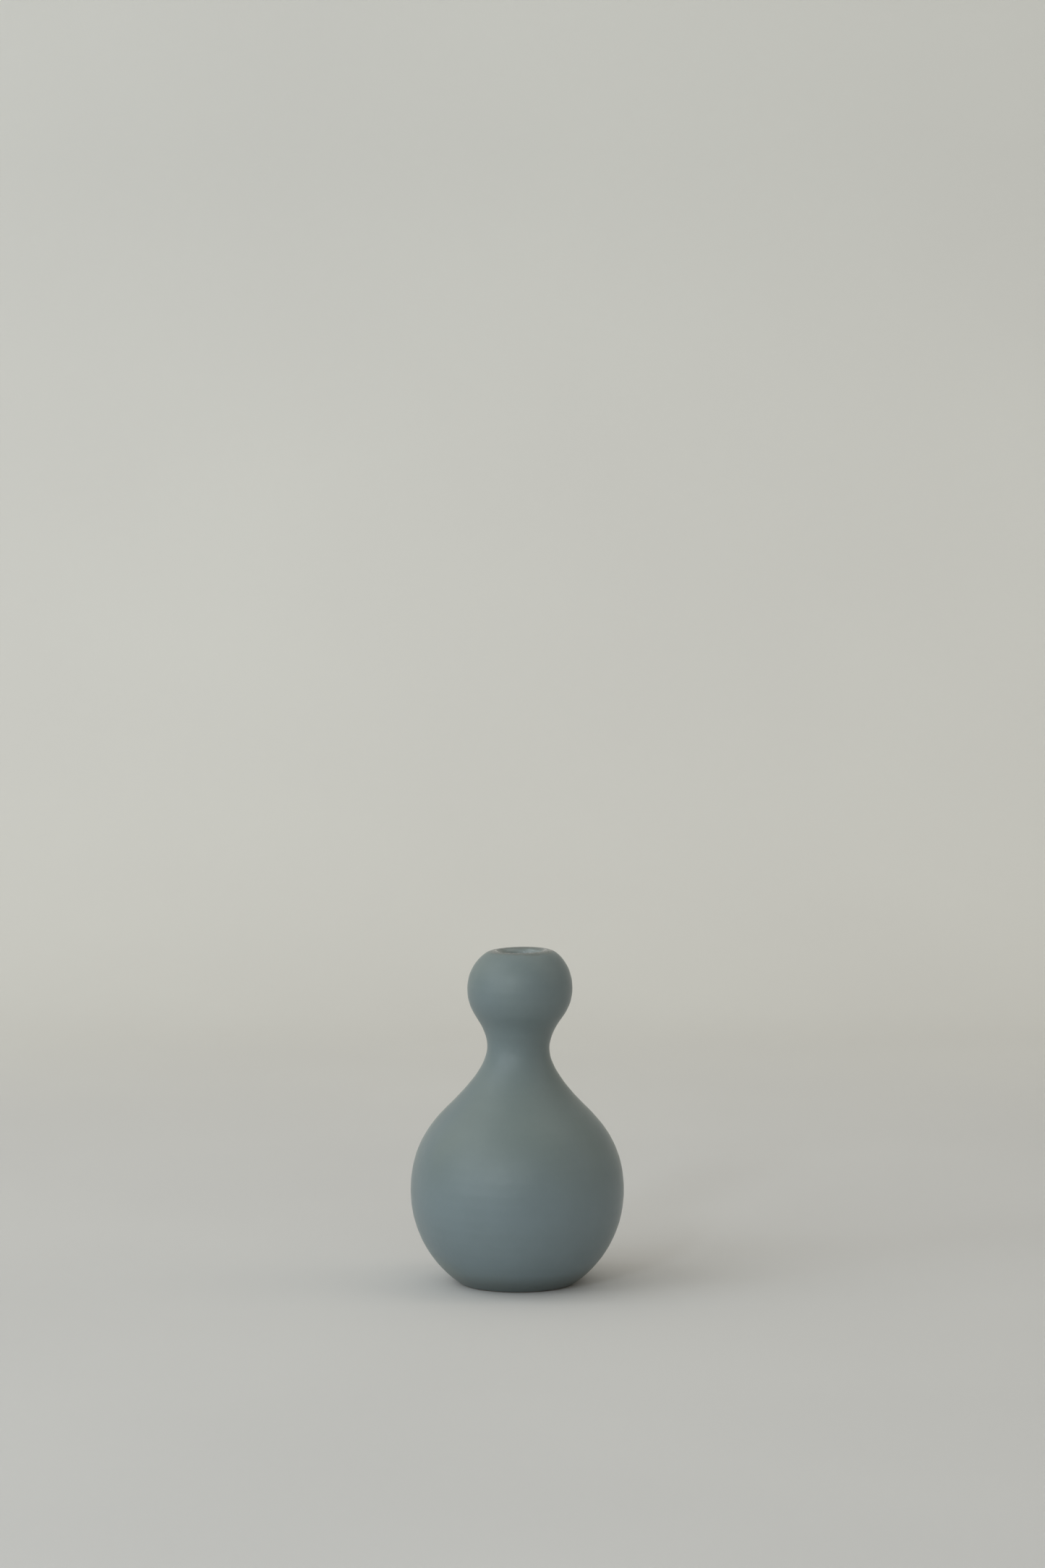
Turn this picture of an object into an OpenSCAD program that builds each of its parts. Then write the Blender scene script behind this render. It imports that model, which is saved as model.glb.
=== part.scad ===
// Ceramic bud vase: a low round belly, a pinched neck and a small hollow ball on top.
// Millimetres, +Z up, origin at the centre of the foot, on the table.
// Every sub-part is turned about Z from one outline, so neighbours meet face to face.

/* [Overall] */
// Height from the table to the top of the lip
vase_h = 80; // [79:0.5:84]

/* [Foot] */
// Radius of the glazed outside where it would meet the table
foot_r = 13.5; // [12:0.1:15]
// Rise of the outside as it leaves the foot, in degrees above the table
heel_angle = 32; // [26:1:45]
// Length of the pull that carries the heel up into the belly
heel_pull = 8.3; // [6:0.1:10]
// Lowest height above the table that the glaze may reach
glaze_line = 0.25; // [0.2:0.05:0.8]
// How far the bare foot stands back from the glazed outside
foot_inset = 0.3; // [0.2:0.05:0.6]
// Depth of the shallow hollow under the foot
foot_hollow = 0.8; // [0.4:0.1:1.2]
// Width of the flat ring the vase stands on
foot_ring_w = 2.4; // [1.5:0.1:4]

/* [Belly] */
// Largest radius of the belly
belly_r = 25.5; // [23:0.1:27]
// Height of the largest radius
belly_z = 22.5; // [20:0.1:25]
// Length of the pull below the belly line
belly_pull_low = 9.8; // [7:0.1:11]
// Length of the pull above the belly line
belly_pull_high = 11; // [7:0.1:12]

/* [Shoulder] */
// Radius where the shoulder turns from convex to concave
shoulder_r = 16.5; // [15:0.1:18]
// Height of that turn
shoulder_z = 42.4; // [41:0.1:44]
// Lean of the shoulder inward, in degrees from the table
shoulder_angle = 45; // [40:1:50]
// Length of the pull below the turn
shoulder_pull_low = 4.1; // [3:0.1:6]
// Length of the pull above the turn
shoulder_pull_high = 8.4; // [6:0.1:9]

/* [Waist] */
// Radius of the neck at its narrowest
waist_r = 7.4; // [7:0.1:9]
// Height of the narrowest point
waist_z = 56.7; // [56:0.1:58]
// Length of the pull below the waist
waist_pull_low = 3.8; // [2.5:0.1:5]
// Length of the pull above the waist
waist_pull_high = 1.9; // [1.2:0.1:2.5]

/* [Ball] */
// Radius of the flare under the ball where it turns convex
flare_r = 9.6; // [9.2:0.1:10.2]
// Height of that turn
flare_z = 63; // [62:0.1:64]
// Lean of the flare outward, in degrees from the table
flare_angle = 56.5; // [50:0.5:62]
// Length of the pull below the turn
flare_pull_low = 2.5; // [1.5:0.1:3]
// Length of the pull above the turn
flare_pull_high = 1.9; // [1.2:0.1:2.6]
// Largest radius of the ball
ball_r = 12.5; // [11.8:0.1:14]
// Height of the largest radius of the ball
ball_z = 70.9; // [70:0.1:72]
// Length of the pull below the ball line
ball_pull_low = 4; // [3:0.1:5]
// Length of the pull above the ball line
ball_pull_high = 6.1; // [4.5:0.1:6.5]

/* [Lip] */
// Radius of the top of the lip
lip_r = 5.95; // [5.7:0.05:6.4]
// Length of the pull that lays the top of the ball flat towards the lip
lip_pull = 2.4; // [1.5:0.1:3.5]
// Rounding of the lip's inner edge
lip_round = 1.2; // [0.8:0.05:1.3]
// Rounding where the mouth opens into the ball
throat_round = 0.5; // [0.4:0.05:0.7]

/* [Wall] */
// Thickness of the glazed wall
wall_t = 2.6; // [2.2:0.1:3]
// Thickness of the glazed floor, measured from the table
floor_t = 3.4; // [3:0.1:4.5]
// Thickness of each coat of glaze
glaze_t = 0.3; // [0.2:0.05:0.35]

/* [Hidden] */
// Steps along each stretch of the outline.
n_long = 26;
n_mid = 18;
n_short = 12;
n_arc = 8;

// A point a given length away along a direction.
function go(p, a, d) = p + d * [cos(a), sin(a)];
// A point on a cubic curve, and the outward normal there.
function cub(c, t) = pow(1 - t, 3) * c[0] + 3 * pow(1 - t, 2) * t * c[1] + 3 * (1 - t) * t * t * c[2] + pow(t, 3) * c[3];
function tan_of(c, t) = 3 * pow(1 - t, 2) * (c[1] - c[0]) + 6 * (1 - t) * t * (c[2] - c[1]) + 3 * t * t * (c[3] - c[2]);
function nrm_of(c, t) = let (d = tan_of(c, t)) [d[1], -d[0]] / norm(d);
// Each outline point is kept as [point, outward normal]; the last point belongs to the next stretch.
function stretch(c, n, t0 = 0) = [for (i = [0 : n - 1]) let (t = t0 + (1 - t0) * i / n) [cub(c, t), nrm_of(c, t)]];
function inward(q, d) = q[0] - d * q[1];
function arc(c, r, a0, a1, n) = [for (i = [0 : n]) go(c, a0 + (a1 - a0) * i / n, r)];
function rev(v) = [for (i = [len(v) - 1 : -1 : 0]) v[i]];

p_foot = [foot_r, 0];
p_belly = [belly_r, belly_z];
p_shoulder = [shoulder_r, shoulder_z];
p_waist = [waist_r, waist_z];
p_flare = [flare_r, flare_z];
p_ball = [ball_r, ball_z];
p_lip = [lip_r, vase_h];
a_shoulder = 180 - shoulder_angle;

c_heel = [p_foot, go(p_foot, heel_angle, heel_pull), go(p_belly, 270, belly_pull_low), p_belly];
c_belly = [p_belly, go(p_belly, 90, belly_pull_high), go(p_shoulder, a_shoulder, -shoulder_pull_low), p_shoulder];
c_shoulder = [p_shoulder, go(p_shoulder, a_shoulder, shoulder_pull_high), go(p_waist, 270, waist_pull_low), p_waist];
c_waist = [p_waist, go(p_waist, 90, waist_pull_high), go(p_flare, flare_angle, -flare_pull_low), p_flare];
c_flare = [p_flare, go(p_flare, flare_angle, flare_pull_high), go(p_ball, 270, ball_pull_low), p_ball];
c_ball = [p_ball, go(p_ball, 90, ball_pull_high), go(p_lip, 180, -lip_pull), p_lip];

// The whole outside from the glaze edge to the top of the lip.
heel_start = [for (t = [0 : 0.001 : 0.3]) if (cub(c_heel, t)[1] >= glaze_line) t][0];
outside = concat(stretch(c_heel, n_long, heel_start), stretch(c_belly, n_long), stretch(c_shoulder, n_mid),
                     stretch(c_waist, n_short), stretch(c_flare, n_short), stretch(c_ball, n_long), [[p_lip, [0, 1]]]);
glaze_out = [for (q = outside) q[0]];
clay_out = [for (q = outside) inward(q, glaze_t)];

// The inside follows the outside one wall thickness in, from the mouth down to the floor.
dome_z = vase_h - wall_t;
throat_r = lip_r - lip_round;
c_lip_in = [lip_r, vase_h - lip_round];
c_throat = [throat_r + throat_round, dome_z + throat_round];
lip_in = arc(c_lip_in, lip_round, 90, 180, n_arc);
lip_in_clay = arc(c_lip_in, lip_round - glaze_t, 90, 180, n_arc);
throat_in = arc(c_throat, throat_round, 180, 270, n_arc);
throat_in_clay = arc(c_throat, throat_round - glaze_t, 180, 270, n_arc);
wall_src = rev([for (q = outside) if (inward(q, wall_t)[1] > floor_t + 0.4 && inward(q, wall_t)[1] < dome_z - 0.02
                                          && inward(q, wall_t)[0] > throat_r + throat_round + 0.02) q]);
wall_in = [for (q = wall_src) inward(q, wall_t)];
wall_in_clay = [for (q = wall_src) inward(q, wall_t - glaze_t)];
floor_corner_r = wall_in[len(wall_in) - 1][0] - 0.6;
glaze_in = concat(lip_in, throat_in, wall_in, [[floor_corner_r, floor_t], [0, floor_t]]);
clay_in = concat(lip_in_clay, throat_in_clay, wall_in_clay, [[floor_corner_r, floor_t - glaze_t], [0, floor_t - glaze_t]]);

// The bare foot: a flat ring with a shallow hollow inside it.
ring_out = foot_r - foot_inset;
ring_in = ring_out - foot_ring_w;

module clay_body() {
  color([0.62, 0.55, 0.47])
    rotate_extrude($fn = 180)
      polygon(concat([[0, foot_hollow], [ring_in - foot_hollow, foot_hollow], [ring_in, 0], [ring_out, 0]],
                     clay_out, [for (i = [1 : len(clay_in) - 1]) clay_in[i]]));
}

module outer_glaze() {
  color([0.42, 0.47, 0.47])
    rotate_extrude($fn = 180)
      polygon(concat(glaze_out, rev(clay_out)));
}

module inner_glaze() {
  color([0.4, 0.46, 0.46])
    rotate_extrude($fn = 180)
      polygon(concat(glaze_in, rev(clay_in)));
}

clay_body();
outer_glaze();
inner_glaze();
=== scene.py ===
import math

import bpy
import numpy as np
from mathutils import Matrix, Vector


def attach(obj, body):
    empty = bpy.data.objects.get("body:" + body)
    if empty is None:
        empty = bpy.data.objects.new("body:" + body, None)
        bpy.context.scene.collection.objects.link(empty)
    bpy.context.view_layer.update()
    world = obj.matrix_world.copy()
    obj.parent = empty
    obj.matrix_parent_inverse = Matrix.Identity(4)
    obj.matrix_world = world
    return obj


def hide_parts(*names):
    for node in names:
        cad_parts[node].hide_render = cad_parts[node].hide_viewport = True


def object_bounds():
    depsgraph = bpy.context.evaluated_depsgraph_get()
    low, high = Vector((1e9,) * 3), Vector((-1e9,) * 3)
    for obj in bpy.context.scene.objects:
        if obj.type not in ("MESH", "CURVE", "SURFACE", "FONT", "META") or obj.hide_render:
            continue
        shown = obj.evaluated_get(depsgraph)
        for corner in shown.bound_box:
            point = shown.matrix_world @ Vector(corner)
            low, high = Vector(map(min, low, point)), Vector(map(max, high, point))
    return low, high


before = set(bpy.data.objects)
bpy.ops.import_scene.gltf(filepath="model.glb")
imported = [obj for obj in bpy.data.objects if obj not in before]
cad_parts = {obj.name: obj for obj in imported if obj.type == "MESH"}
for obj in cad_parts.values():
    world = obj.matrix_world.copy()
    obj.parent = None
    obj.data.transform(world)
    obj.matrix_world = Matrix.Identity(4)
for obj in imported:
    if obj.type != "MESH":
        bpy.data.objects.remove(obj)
cad_lo, cad_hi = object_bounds()
MM = 0.001


# ---------------------------------------------------------------- outlines taken from the CAD nodes
def seam(node):
    """Neighbours along the seam of a turned CAD node, keyed by (radius, height) in tenths of a micrometre."""
    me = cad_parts[node].data
    co = np.array([v.co[:] for v in me.vertices])
    near = {}
    for e in me.edges:
        a, b = e.vertices
        if abs(co[a][1]) < 3e-7 and abs(co[b][1]) < 3e-7 and co[a][0] > 1e-5 and co[b][0] > 1e-5:
            ka, kb = [(round(co[i][0] * 1e7), round(co[i][2] * 1e7)) for i in (a, b)]
            if ka != kb:
                near.setdefault(ka, set()).add(kb)
                near.setdefault(kb, set()).add(ka)
    return near


def follow(near, start, first, stop=None):
    """The seam from start through first, to stop or to its open end, in metres."""
    path, last, here = [start], start, first
    while True:
        path.append(here)
        nxt = [k for k in near[here] if k != last]
        if here == stop or not nxt:
            return np.array(path, float) * 1e-7
        last, here = here, min(nxt)


def spline(pts, step):
    """A natural cubic spline through pts, sampled about every step metres along its length."""
    pts = np.asarray(pts, float)
    s = np.r_[0, np.cumsum(np.hypot(*np.diff(pts, axis=0).T))]
    n, h = len(pts), np.diff(s)
    want = np.linspace(0, s[-1], max(int(round(s[-1] / step)), 3) + 1)
    k = np.clip(np.searchsorted(s, want) - 1, 0, n - 2)
    b, a, hk = s[k + 1] - want, want - s[k], h[k]
    A = np.zeros((n, n))
    A[0, 0] = A[-1, -1] = 1
    for i in range(1, n - 1):
        A[i, i - 1], A[i, i], A[i, i + 1] = h[i - 1], 2 * (h[i - 1] + h[i]), h[i]
    out = []
    for c in range(2):
        y, d = pts[:, c], np.zeros(n)
        d[1:-1] = 6 * (np.diff(y)[1:] / h[1:] - np.diff(y)[:-1] / h[:-1])
        m = np.linalg.solve(A, d)
        out.append(m[k] * b**3 / (6 * hk) + m[k + 1] * a**3 / (6 * hk) + (y[k] / hk - m[k] * hk / 6) * b + (y[k + 1] / hk - m[k + 1] * hk / 6) * a)
    return np.stack(out, 1)


# Outer coat: from its lowest edge up the outside to the top of the lip, and back down against the clay.
near = seam("outer_glaze")
crown = max(near, key=lambda k: k[1])
low = min(near, key=lambda k: k[1])
sides = [follow(near, low, f, crown) for f in sorted(near[low])]
outside = max(sides, key=lambda p: p[:, 0].max())
outside_back = min(sides, key=lambda p: p[:, 0].max())[1:-1]

# Inner coat: from the top of the lip down the inside to the floor, and the same against the clay.
near = seam("inner_glaze")
crown = max(near, key=lambda k: k[1])
ways = [follow(near, crown, f) for f in sorted(near[crown])]
inside = min(ways, key=len)
inside_back = max(ways, key=len)[1:]

H = float(cad_hi.z)
LIP_R = crown[0] * 1e-7
FLOOR_Z = inside[-1, 1]
clay = np.array([v.co[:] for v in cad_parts["clay_body"].data.vertices])
clay_r = np.hypot(clay[:, 0], clay[:, 1])
ring = clay_r[(clay[:, 2] < 1e-5)]
RING_OUT, RING_IN = float(ring.max()), float(ring[ring > 1e-3].min())
under = clay[(clay[:, 2] > 1e-5) & (clay_r < RING_IN - 1e-5) & (clay[:, 2] < 0.002)]
HOLLOW = float(under[:, 2].max()) if len(under) else 0.0008


# ---------------------------------------------------------------- a potter's small departures from a true turning
# Height up the vase, as a share of it, against how far the axis there stands to +X, in metres.
LEAN_AT = np.array([0.0, 0.25, 0.35, 0.45, 0.55, 0.625, 0.70, 0.775, 0.85, 0.925, 1.0])
LEAN_BY = np.array([0.0, 0.0, -0.012, -0.066, -0.13, 0.06, 0.237, 0.450, 0.606, 0.650, 0.762]) * MM
# The hand-made outline against the true turning, at the same heights: how far it stands out from the axis.
FULL_AT = np.array([0.0, 0.05, 0.12, 0.20, 0.30, 0.42, 0.50, 0.58, 0.66, 0.72, 0.80, 0.88, 0.935, 0.97, 0.985, 0.995, 1.0])
FULL_BY = np.array([-0.08, -0.09, -0.06, -0.03, -0.06, -0.03, -0.06, -0.06, -0.01, 0.02, 0.05, 0.0, -0.07, -0.07, 0.04, 0.20, 0.25]) * MM


def smooth_curve(x, y, at):
    """Cubic through (x, y) with slopes from the neighbours, so it doesn't overshoot much."""
    m = np.gradient(y, x)
    k = np.clip(np.searchsorted(x, at) - 1, 0, len(x) - 2)
    h = x[k + 1] - x[k]
    t = np.clip((at - x[k]) / h, 0, 1)
    return (2 * t**3 - 3 * t**2 + 1) * y[k] + (t**3 - 2 * t**2 + t) * h * m[k] + (3 * t**2 - 2 * t**3) * y[k + 1] + (t**3 - t**2) * h * m[k + 1]


RIM_TILT = math.radians(0.95)  # the lip is a little higher towards +X
TURNS = np.random.default_rng(7).uniform(0, 2 * math.pi, 24)


def by_hand(x, y, z):
    """Moves points of the true turning to where the hand-made one has them."""
    u = np.clip(z / H, 0, 1)
    a = np.arctan2(y, x)
    r = np.hypot(x, y)
    # Out of round by a few hundredths of a millimetre, and faint throwing rings that wander in pitch.
    oval = 0.030 * np.cos(2 * a + TURNS[0] + 1.5 * u) + 0.016 * np.cos(3 * a + TURNS[1] - 3 * u)
    rings = 0.010 * np.sin(z / MM / 0.46 + 0.8 * np.sin(z / MM / 5 + TURNS[2]) + a) + 0.008 * np.sin(z / MM / 1.15 + TURNS[3] + a)
    foot = np.clip((z / MM - 1.0) / 5.0, 0, 1)
    top = np.clip((H - z) / MM / 2.5, 0.15, 1)
    push = (oval * foot + rings * foot * top) * MM + smooth_curve(FULL_AT, FULL_BY, u) * np.clip(z / MM / 0.5, 0, 1)
    k = np.where(r > 1e-6, (r + push * np.clip(r / (4 * MM), 0, 1)) / np.maximum(r, 1e-6), 1)
    x, y = x * k, y * k
    tilt = np.clip((u - 0.86) / 0.14, 0, 1)
    tilt = tilt * tilt * (3 - 2 * tilt)
    z = z + tilt * (math.tan(RIM_TILT) * x - (0.115 * MM))
    return x + smooth_curve(LEAN_AT, LEAN_BY, u), y, z


def turned(name, loop, around, material):
    """A closed solid turned from loop, an array of (radius, height)."""
    loop = np.asarray(loop, float)
    n = len(loop)
    ang = np.linspace(0, 2 * math.pi, around, endpoint=False)
    ca, sa = np.cos(ang), np.sin(ang)
    X = np.outer(loop[:, 0], ca).ravel()
    Y = np.outer(loop[:, 0], sa).ravel()
    Z = np.repeat(loop[:, 1], around)
    verts = np.stack([X, Y, Z], 1)
    faces = []
    on_axis = loop[:, 0] < 1e-7
    idx = np.arange(n * around).reshape(n, around)
    used = np.ones(len(verts), bool)
    for i in range(n):
        if on_axis[i]:
            used[idx[i, 1:]] = False
            idx[i, :] = idx[i, 0]
    for i in range(n):
        j = (i + 1) % n
        if on_axis[i] and on_axis[j]:
            continue
        p, q = idx[i], idx[j]
        p2, q2 = np.roll(p, -1), np.roll(q, -1)
        if on_axis[i]:
            faces += [(int(p[0]), int(q2[k]), int(q[k])) for k in range(around)]
        elif on_axis[j]:
            faces += [(int(p[k]), int(p2[k]), int(q[0])) for k in range(around)]
        else:
            faces += np.stack([p, p2, q2, q], 1).tolist()
    new = np.cumsum(used) - 1
    verts = verts[used]
    faces = [tuple(int(new[v]) for v in f) for f in faces]
    verts = np.stack(by_hand(*verts.T), 1)
    me = bpy.data.meshes.new(name)
    me.from_pydata(verts.tolist(), [], faces)
    me.validate()
    me.update()
    o = bpy.data.objects.new(name, me)
    bpy.context.scene.collection.objects.link(o)
    me.shade_smooth()
    me.materials.append(material)
    return o


def area2(loop):
    x, y = np.asarray(loop).T
    return float(np.sum(x * np.roll(y, -1) - np.roll(x, -1) * y))


def outward(loop):
    """The loop in the order that makes turned() face outwards."""
    return loop if area2(loop) > 0 else loop[::-1]


# ---------------------------------------------------------------- materials
class Nodes:
    """Small helper around a material's node tree."""

    def __init__(self, name):
        self.mat = bpy.data.materials.new(name)
        self.mat.use_nodes = True
        self.t = self.mat.node_tree
        self.t.nodes.clear()
        self.out = self.t.nodes.new("ShaderNodeOutputMaterial")
        self.bsdf = self.t.nodes.new("ShaderNodeBsdfPrincipled")
        self.t.links.new(self.bsdf.outputs[0], self.out.inputs[0])
        self.coord = self.t.nodes.new("ShaderNodeTexCoord").outputs["Object"]

    def put(self, socket, value):
        if isinstance(value, bpy.types.NodeSocket):
            self.t.links.new(value, socket)
        else:
            socket.default_value = value

    def noise(self, scale, detail=2.0, rough=0.5, at=None, stretch=None, distortion=0.0):
        at = at or self.coord
        if stretch:
            m = self.t.nodes.new("ShaderNodeMapping")
            m.inputs["Scale"].default_value = stretch
            self.t.links.new(at, m.inputs["Vector"])
            at = m.outputs[0]
        n = self.t.nodes.new("ShaderNodeTexNoise")
        self.t.links.new(at, n.inputs["Vector"])
        n.inputs["Scale"].default_value = scale
        n.inputs["Detail"].default_value = detail
        n.inputs["Roughness"].default_value = rough
        n.inputs["Distortion"].default_value = distortion
        return n.outputs[0]

    def cells(self, scale, feature="F1", randomness=1.0, at=None):
        n = self.t.nodes.new("ShaderNodeTexVoronoi")
        n.feature = feature
        self.t.links.new(at or self.coord, n.inputs["Vector"])
        n.inputs["Scale"].default_value = scale
        n.inputs["Randomness"].default_value = randomness
        return n

    def math(self, op, a, b=None, c=None, clamp=False):
        n = self.t.nodes.new("ShaderNodeMath")
        n.operation = op
        n.use_clamp = clamp
        for s, v in zip(n.inputs, (a, b, c)):
            if v is not None:
                self.put(s, v)
        return n.outputs[0]

    def ramp(self, value, lo, hi, to_lo=0.0, to_hi=1.0, smooth=True):
        n = self.t.nodes.new("ShaderNodeMapRange")
        n.interpolation_type = "SMOOTHSTEP" if smooth else "LINEAR"
        n.clamp = True
        self.put(n.inputs["Value"], value)
        for k, v in (("From Min", lo), ("From Max", hi), ("To Min", to_lo), ("To Max", to_hi)):
            n.inputs[k].default_value = v
        return n.outputs[0]

    def mix(self, fac, a, b, blend="MIX"):
        n = self.t.nodes.new("ShaderNodeMix")
        n.data_type = "RGBA"
        n.blend_type = blend
        n.clamp_factor = True
        self.put(n.inputs[0], fac)
        for s, v in ((n.inputs[6], a), (n.inputs[7], b)):
            self.put(s, v if isinstance(v, bpy.types.NodeSocket) else (*v[:3], 1))
        return n.outputs[2]

    def split(self, at=None):
        n = self.t.nodes.new("ShaderNodeSeparateXYZ")
        self.t.links.new(at or self.coord, n.inputs[0])
        return n.outputs

    def bump(self, height, distance, strength=1.0, normal=None):
        n = self.t.nodes.new("ShaderNodeBump")
        self.put(n.inputs["Height"], height)
        n.inputs["Distance"].default_value = distance
        n.inputs["Strength"].default_value = strength
        if normal is not None:
            self.t.links.new(normal, n.inputs["Normal"])
        return n.outputs[0]


def glaze(name, gloss):
    """Blue-grey glaze. gloss 0 is the satin outside, 1 the glossy liner; both share their colour, so they meet at the lip."""
    g = Nodes(name)
    x, y, z = g.split()
    up = g.math("DIVIDE", z, H)
    # Slow drift between a greener and a bluer grey, as the coat's thickness varies.
    drift = g.noise(34.0, detail=2.0, rough=0.45)
    cloud = g.noise(120.0, detail=3.0, rough=0.5)
    fine = g.noise(900.0, detail=2.0, rough=0.6)
    col = g.mix(g.ramp(drift, 0.36, 0.64), GREEN_GREY, BLUE_GREY)
    # Low on the belly the colour is paler and bluer: painted bounce light from the pale floor below. Right at the foot
    # it is darker: painted shade where the foot meets the floor.
    level = g.math("ADD", z, g.math("MULTIPLY", g.math("SUBTRACT", drift, 0.5), 0.012))
    floor_bounce = g.math("MULTIPLY", g.ramp(level, 0.036, 0.019), g.ramp(level, 0.0025, 0.0085))
    col = g.mix(g.math("MULTIPLY", floor_bounce, 0.85), col, FLOOR_BOUNCE_BLUE)
    # painted shade: darker towards the foot, where it meets the floor
    col = g.mix(g.ramp(z, 0.0052, 0.0016, 0.0, 0.60), col, FOOT_SHADE_GREY)
    col = g.mix(g.ramp(cloud, 0.35, 0.68, 0.0, 0.14), col, DEEP_GREY)
    # It is also a little darker in the pinched neck.
    neck = g.math("MULTIPLY", g.ramp(up, 0.58, 0.70), g.ramp(up, 0.72, 0.84, 1.0, 0.0))
    col = g.mix(g.math("MULTIPLY", neck, 0.10), col, DEEP_GREY)
    col = g.mix(g.ramp(fine, 0.45, 0.8, 0.0, 0.10), col, PALE_GREY)
    if gloss:
        col = g.mix(g.ramp(g.noise(300.0, detail=2.0), 0.3, 0.7, 0.78, 0.92), col, LINER)
    # Sparse iron specks, each a quarter of a millimetre or less.
    cell = g.cells(420.0)
    speck = g.math("MULTIPLY", g.ramp(cell.outputs["Distance"], 0.04, 0.10, 1.0, 0.0), g.ramp(g.noise(260.0, detail=1.0), 0.66, 0.72))
    col = g.mix(g.math("MULTIPLY", speck, 0.35), col, IRON)
    # Over the lip the colour turns darker: partly the glaze breaking thin there, partly painted shade along the crown
    # that also damps its highlight.
    wander = g.math("MULTIPLY", g.math("SUBTRACT", g.noise(420.0, detail=2.0), 0.5), 0.0009)
    edge = g.math("ADD", z, wander)
    brk_and_shade = g.ramp(edge, H - 0.00075, H - 0.00020)
    col = g.mix(g.math("MULTIPLY", brk_and_shade, 0.75), col, LIP_BREAK_AND_SHADE)
    g.put(g.bsdf.inputs["Base Color"], col)
    satin = g.math("ADD", g.math("MULTIPLY", g.math("SUBTRACT", cloud, 0.5), 0.10), SATIN_ROUGH)
    if gloss:
        rough = g.math("ADD", g.math("MULTIPLY", g.math("SUBTRACT", cloud, 0.5), 0.06), GLOSS_ROUGH)
    else:
        rough = g.math("ADD", satin, g.math("MULTIPLY", g.ramp(edge, H - 0.0006, H - 0.00005), -0.13))
    if not gloss:
        # A satin surface looks smoother the more it is seen edge-on.
        facing = g.t.nodes.new("ShaderNodeLayerWeight")
        facing.inputs["Blend"].default_value = 0.5
        rough = g.math("SUBTRACT", rough, g.math("MULTIPLY", g.math("POWER", facing.outputs["Facing"], 3.0), 0.15))
    g.put(g.bsdf.inputs["Roughness"], rough)
    g.bsdf.inputs["IOR"].default_value = 1.52
    g.bsdf.inputs["Specular IOR Level"].default_value = 0.38 if gloss else 0.33
    grain = g.noise(2600.0, detail=2.0, rough=0.6)
    skin = g.bump(grain, 0.000012 if not gloss else 0.000003, 1.0)
    peel = g.bump(g.noise(520.0, detail=2.0), 0.00003 if not gloss else 0.00002, 1.0, skin)
    pits = g.cells(760.0)
    pit = g.math("MULTIPLY", g.ramp(pits.outputs["Distance"], 0.03, 0.09, -1.0, 0.0), g.ramp(g.noise(310.0, detail=1.0), 0.62, 0.70))
    g.put(g.bsdf.inputs["Normal"], g.bump(pit, 0.00004, 1.0, peel))
    return g.mat


def bare_clay(name):
    """Dry fired stoneware: warm, gritty, with dark iron specks and a scuffed ring where it stands."""
    g = Nodes(name)
    x, y, z = g.split()
    grain = g.noise(1500.0, detail=4.0, rough=0.65)
    blotch = g.noise(90.0, detail=3.0)
    col = g.mix(g.ramp(blotch, 0.3, 0.7), (0.36, 0.29, 0.22), (0.46, 0.38, 0.30))
    col = g.mix(g.ramp(grain, 0.35, 0.75, 0.0, 0.5), col, (0.56, 0.49, 0.41))
    cell = g.cells(900.0)
    speck = g.math("MULTIPLY", g.ramp(cell.outputs["Distance"], 0.10, 0.2, 1.0, 0.0), g.ramp(g.noise(500.0, detail=1.0), 0.56, 0.64))
    col = g.mix(g.math("MULTIPLY", speck, 0.8), col, (0.09, 0.06, 0.045))
    r = g.math("SQRT", g.math("ADD", g.math("MULTIPLY", x, x), g.math("MULTIPLY", y, y)))
    worn = g.math("MULTIPLY", g.ramp(z, 0.00025, 0.00002), g.ramp(g.noise(260.0, detail=3.0), 0.35, 0.6))
    col = g.mix(g.math("MULTIPLY", worn, 0.45), col, (0.24, 0.2, 0.165))
    # Turning marks left by the tool inside the ring.
    marks = g.math("SINE", g.math("MULTIPLY", g.math("ADD", r, g.math("MULTIPLY", g.noise(180.0), 0.0012)), 7400.0))
    g.put(g.bsdf.inputs["Base Color"], col)
    g.put(g.bsdf.inputs["Roughness"], g.ramp(grain, 0.3, 0.7, 0.78, 0.95))
    g.bsdf.inputs["IOR"].default_value = 1.45
    b = g.bump(grain, 0.00010, 1.0)
    b = g.bump(marks, 0.00004, 0.7, b)
    g.put(g.bsdf.inputs["Normal"], g.bump(speck, 0.00005, 1.0, b))
    return g.mat


# Linear colours.
GREEN_GREY = (0.1655, 0.2060, 0.2000)
BLUE_GREY = (0.1600, 0.2030, 0.2110)
# painted bounce light from the floor, low on the belly
FLOOR_BOUNCE_BLUE = (0.1720, 0.2200, 0.2370)
# painted shade at the foot
FOOT_SHADE_GREY = (0.1080, 0.1240, 0.1150)
DEEP_GREY = (0.1340, 0.1710, 0.1740)
PALE_GREY = (0.2000, 0.2450, 0.2440)
LINER = (0.2600, 0.2980, 0.2900)
IRON = (0.055, 0.058, 0.052)
# lip: thin glaze break and painted shade along the crown
LIP_BREAK_AND_SHADE = (0.128, 0.142, 0.130)
SATIN_ROUGH = 0.43
GLOSS_ROUGH = 0.07

satin_mat = glaze("satin_glaze", 0)
gloss_mat = glaze("gloss_glaze", 1)
clay_mat = bare_clay("fired_clay")

# ---------------------------------------------------------------- the vase
AROUND = 288
out_fine = spline(outside, 0.30 * MM)
back_fine = spline(outside_back, 0.60 * MM)
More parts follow.
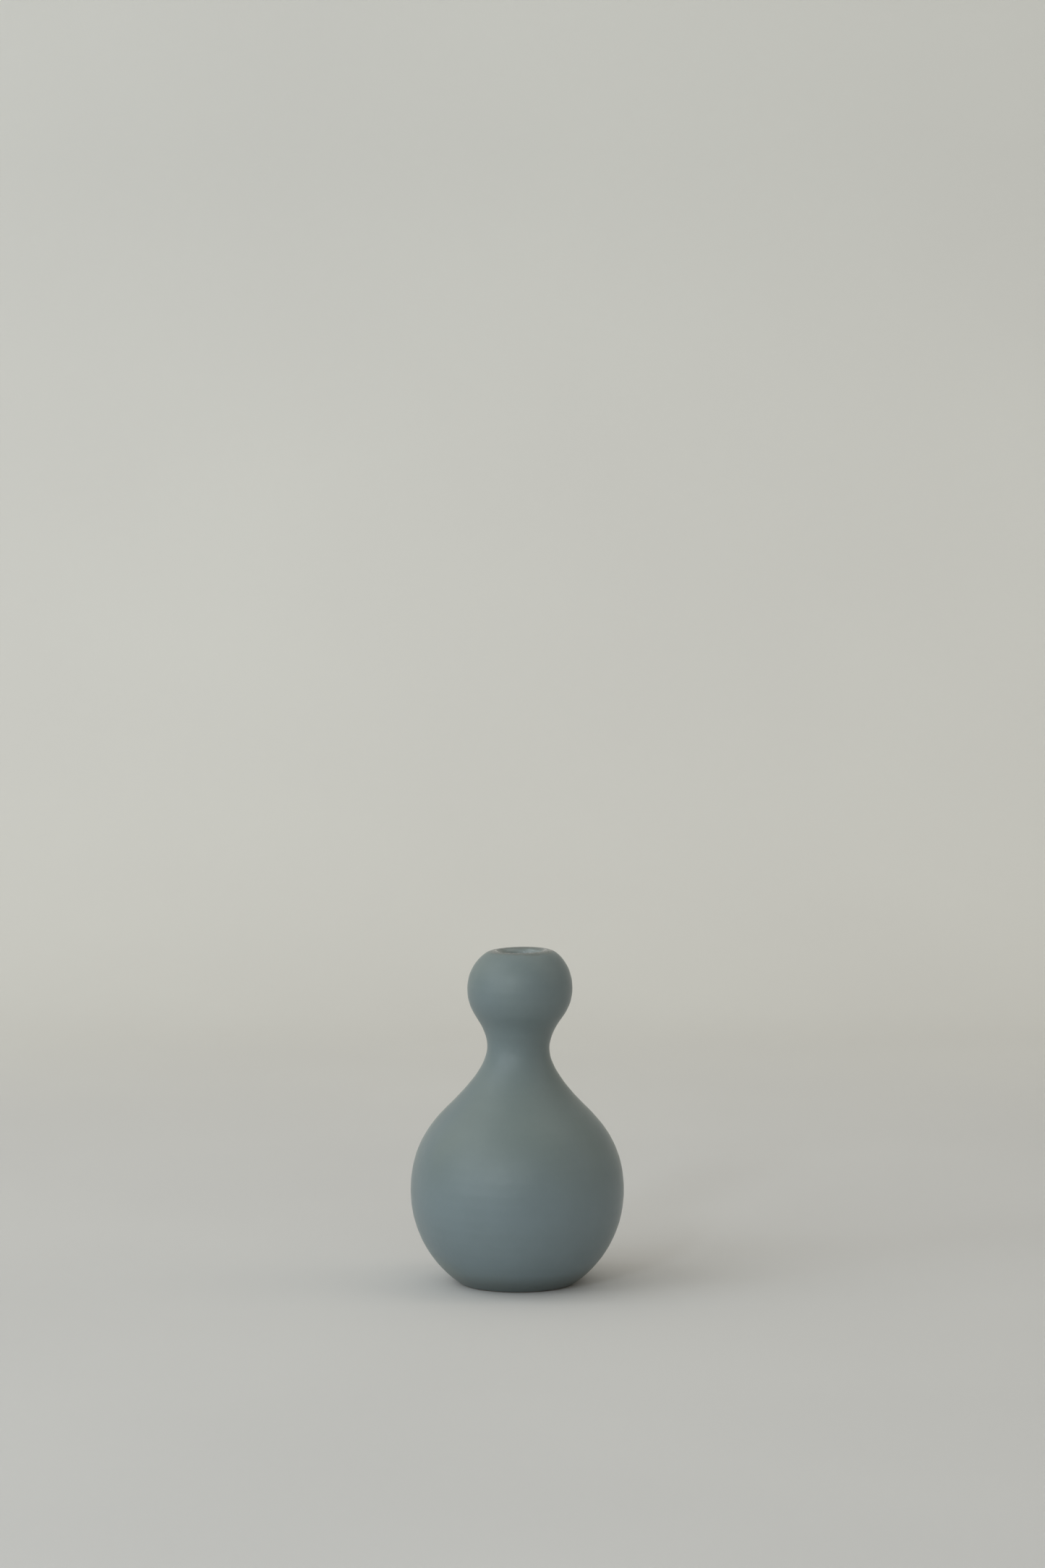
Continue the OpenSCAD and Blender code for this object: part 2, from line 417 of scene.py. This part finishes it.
# The coat's lower edge is a small rounded roll instead of a cut.
p0, p1 = out_fine[0], back_fine[0]
mid, half = (p0 + p1) / 2, (p1 - p0) / 2
fwd = np.array([half[1], -half[0]])
if np.dot(fwd, out_fine[1] - out_fine[0]) > 0:
    fwd = -fwd
roll = [mid - half * math.cos(t) + fwd * 0.8 * math.sin(t) for t in np.linspace(0, math.pi, 9)[1:-1]]
coat = np.concatenate([out_fine, back_fine[::-1], np.array(roll)[::-1]])
outer = turned("outer_glaze_coat", outward(coat), AROUND, satin_mat)

in_pts = inside
cut = int(np.argmax(in_pts[:, 1] < H - 8 * MM))
in_fine = np.concatenate([in_pts[:cut], spline(in_pts[cut:-1], 0.5 * MM)])
floor_edge = in_pts[-2]
floor_curve = []
for t in np.linspace(0, 1, 14)[1:]:
    floor_curve.append([floor_edge[0] * (1 - t), FLOOR_Z + (floor_edge[1] - FLOOR_Z) * (1 - t) ** 2.2])
in_side = np.concatenate([in_fine, np.array(floor_curve)])
in_side[-1, 0] = 0.0
back = inside_back
liner = np.concatenate([in_side, [[0.0, back[-1, 1]]], back[::-1]])
inner = turned("inner_glaze_coat", outward(liner), AROUND, gloss_mat)

ease = 0.22 * MM
foot = [[0.0, HOLLOW]]
for t in np.linspace(0.12, 1, 10):
    r = (RING_IN - 0.15 * MM) * t
    foot.append([r, HOLLOW * (1 - t**6)])
foot += [[RING_IN + ease * 0.5, 0.0], [RING_OUT - ease, 0.0], [RING_OUT - ease * 0.3, ease * 0.18], [RING_OUT, ease * 0.6]]
first = back_fine[0]
for t in np.linspace(0, 1, 5)[1:-1]:
    foot.append([RING_OUT + (first[0] - RING_OUT) * t, ease * 0.6 + (first[1] - ease * 0.6) * t])
shell = np.concatenate([np.array(foot), back_fine, back[:, :], [[0.0, back[-1, 1]]]])
body = turned("clay_wall_and_foot", outward(shell), AROUND, clay_mat)

for piece, node, slot in ((outer, "outer_glaze", "satin_glaze"), (inner, "inner_glaze", "gloss_glaze"), (body, "clay_body", "fired_clay")):
    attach(piece, "root")
    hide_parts(node)

# ---------------------------------------------------------------- floor and backdrop: one pale sheet, swept up behind
sweep = Nodes("pale_sweep")
tone = sweep.noise(6.0, detail=2.0)
depth = sweep.split()[1]
near_col = sweep.mix(sweep.ramp(tone, 0.3, 0.7), (0.619, 0.619, 0.612), (0.639, 0.639, 0.630))
far_col = sweep.mix(sweep.ramp(tone, 0.3, 0.7), (0.678, 0.672, 0.642), (0.694, 0.690, 0.657))
sweep.put(sweep.bsdf.inputs["Base Color"], sweep.mix(sweep.ramp(depth, 0.12, 0.55), near_col, far_col))
sweep.bsdf.inputs["Roughness"].default_value = 0.85
sweep.bsdf.inputs["Specular IOR Level"].default_value = 0.25
sweep.put(sweep.bsdf.inputs["Normal"], sweep.bump(sweep.noise(1400.0, detail=2.0), 0.00004, 0.5))

FRONT, BACK, BEND, WIDE, TALL = -3.0, 0.42, 0.30, 3.2, 3.2
prof = [(FRONT, 0.0), (-1.5, 0.0), (-0.6, 0.0), (-0.2, 0.0), (0.0, 0.0), (0.2, 0.0)]
for t in np.linspace(0, math.pi / 2, 40):
    prof.append((BACK + BEND * math.sin(t), BEND * (1 - math.cos(t))))
prof += [(BACK + BEND, 0.8), (BACK + BEND, 1.6), (BACK + BEND, TALL)]
xs = np.linspace(-WIDE, WIDE, 33)
fv = [(float(x), float(y), float(z)) for (y, z) in prof for x in xs]
nx = len(xs)
ff = [(j * nx + i, j * nx + i + 1, (j + 1) * nx + i + 1, (j + 1) * nx + i) for j in range(len(prof) - 1) for i in range(nx - 1)]
me = bpy.data.meshes.new("pale_sweep")
me.from_pydata(fv, [], ff)
me.shade_smooth()
me.materials.append(sweep.mat)
floor = bpy.data.objects.new("pale_sweep", me)
bpy.context.scene.collection.objects.link(floor)

# ---------------------------------------------------------------- camera: 11 degrees above the foot, a long lens
DIST, ELEV, LOOK_DOWN = 1.1323, math.radians(11.0), math.radians(4.9656)
cam_data = bpy.data.cameras.new("camera")
cam_data.sensor_width = 36.0
cam_data.lens = 108.12
cam_data.clip_start, cam_data.clip_end = 0.01, 50
cam = bpy.data.objects.new("camera", cam_data)
cam.location = (0.00124, -DIST * math.cos(ELEV), DIST * math.sin(ELEV))
cam.rotation_euler = (math.pi / 2 - LOOK_DOWN, 0, 0)
bpy.context.scene.collection.objects.link(cam)
bpy.context.scene.camera = cam


# ---------------------------------------------------------------- light: a big soft window from the left, and a pale room
def softbox(name, azimuth, elevation, distance, size_x, size_y, power, colour, aim=(0, 0, 0.04)):
    """An area light; azimuth is measured from the camera's side towards -X."""
    a, e = math.radians(azimuth), math.radians(elevation)
    d = bpy.data.lights.new(name, "AREA")
    d.shape = "RECTANGLE"
    d.size, d.size_y = size_x, size_y
    d.energy = power
    d.color = colour
    o = bpy.data.objects.new(name, d)
    o.location = Vector(aim) + distance * Vector((-math.sin(a) * math.cos(e), -math.cos(a) * math.cos(e), math.sin(e)))
    o.rotation_euler = (Vector(aim) - o.location).to_track_quat("-Z", "Y").to_euler()
    bpy.context.scene.collection.objects.link(o)
    return o


softbox("window_low", 48, 16, 1.6, 1.5, 0.9, 7.9, (0.84, 0.93, 1.0))
softbox("window_pane_a", 19, 24, 1.55, 0.12, 0.28, 2.3, (0.84, 0.93, 1.0))
softbox("window_pane_b", 60, 24, 1.55, 0.12, 0.36, 0.6, (0.84, 0.93, 1.0))
softbox("window_high", 66, 44, 1.6, 1.5, 0.8, 4.6, (0.97, 1.0, 1.0))
softbox("window_end", 112, 34, 1.5, 0.8, 0.9, 1.2, (1.0, 0.93, 0.82))
softbox("front", 2, 23, 1.8, 1.3, 1.0, 3.25, (0.861, 0.941, 1.0))
softbox("right", -84, 24, 1.6, 1.0, 0.9, 1.3, (1.0, 0.93, 0.82))
softbox("overhead", 180, 80, 1.5, 1.5, 0.9, 2.3, (1.0, 0.956, 0.875))
for side, power, tint in ((-1, 1.1, (0.88, 0.95, 1.0)), (1, 1.05, (1.0, 0.96, 0.88))):
    wash = softbox("backdrop_wash", 0, 0, 1.0, 0.7, 0.5, power, tint)
    wash.location = (side * 0.75, 0.05, 1.15)
    wash.rotation_euler = (Vector((side * 0.34, 0.75, 0.25)) - wash.location).to_track_quat("-Z", "Y").to_euler()
world = bpy.data.worlds.new("room")
world.use_nodes = True
world.node_tree.nodes["Background"].inputs[0].default_value = (1.0, 0.93, 0.82, 1)
world.node_tree.nodes["Background"].inputs[1].default_value = 0.297
bpy.context.scene.world = world
bpy.context.scene.view_settings.view_transform = "Standard"
bpy.context.scene.view_settings.look = "None"

print("CAD box mm", [round(v * 1000, 2) for v in (*cad_lo, *cad_hi)])
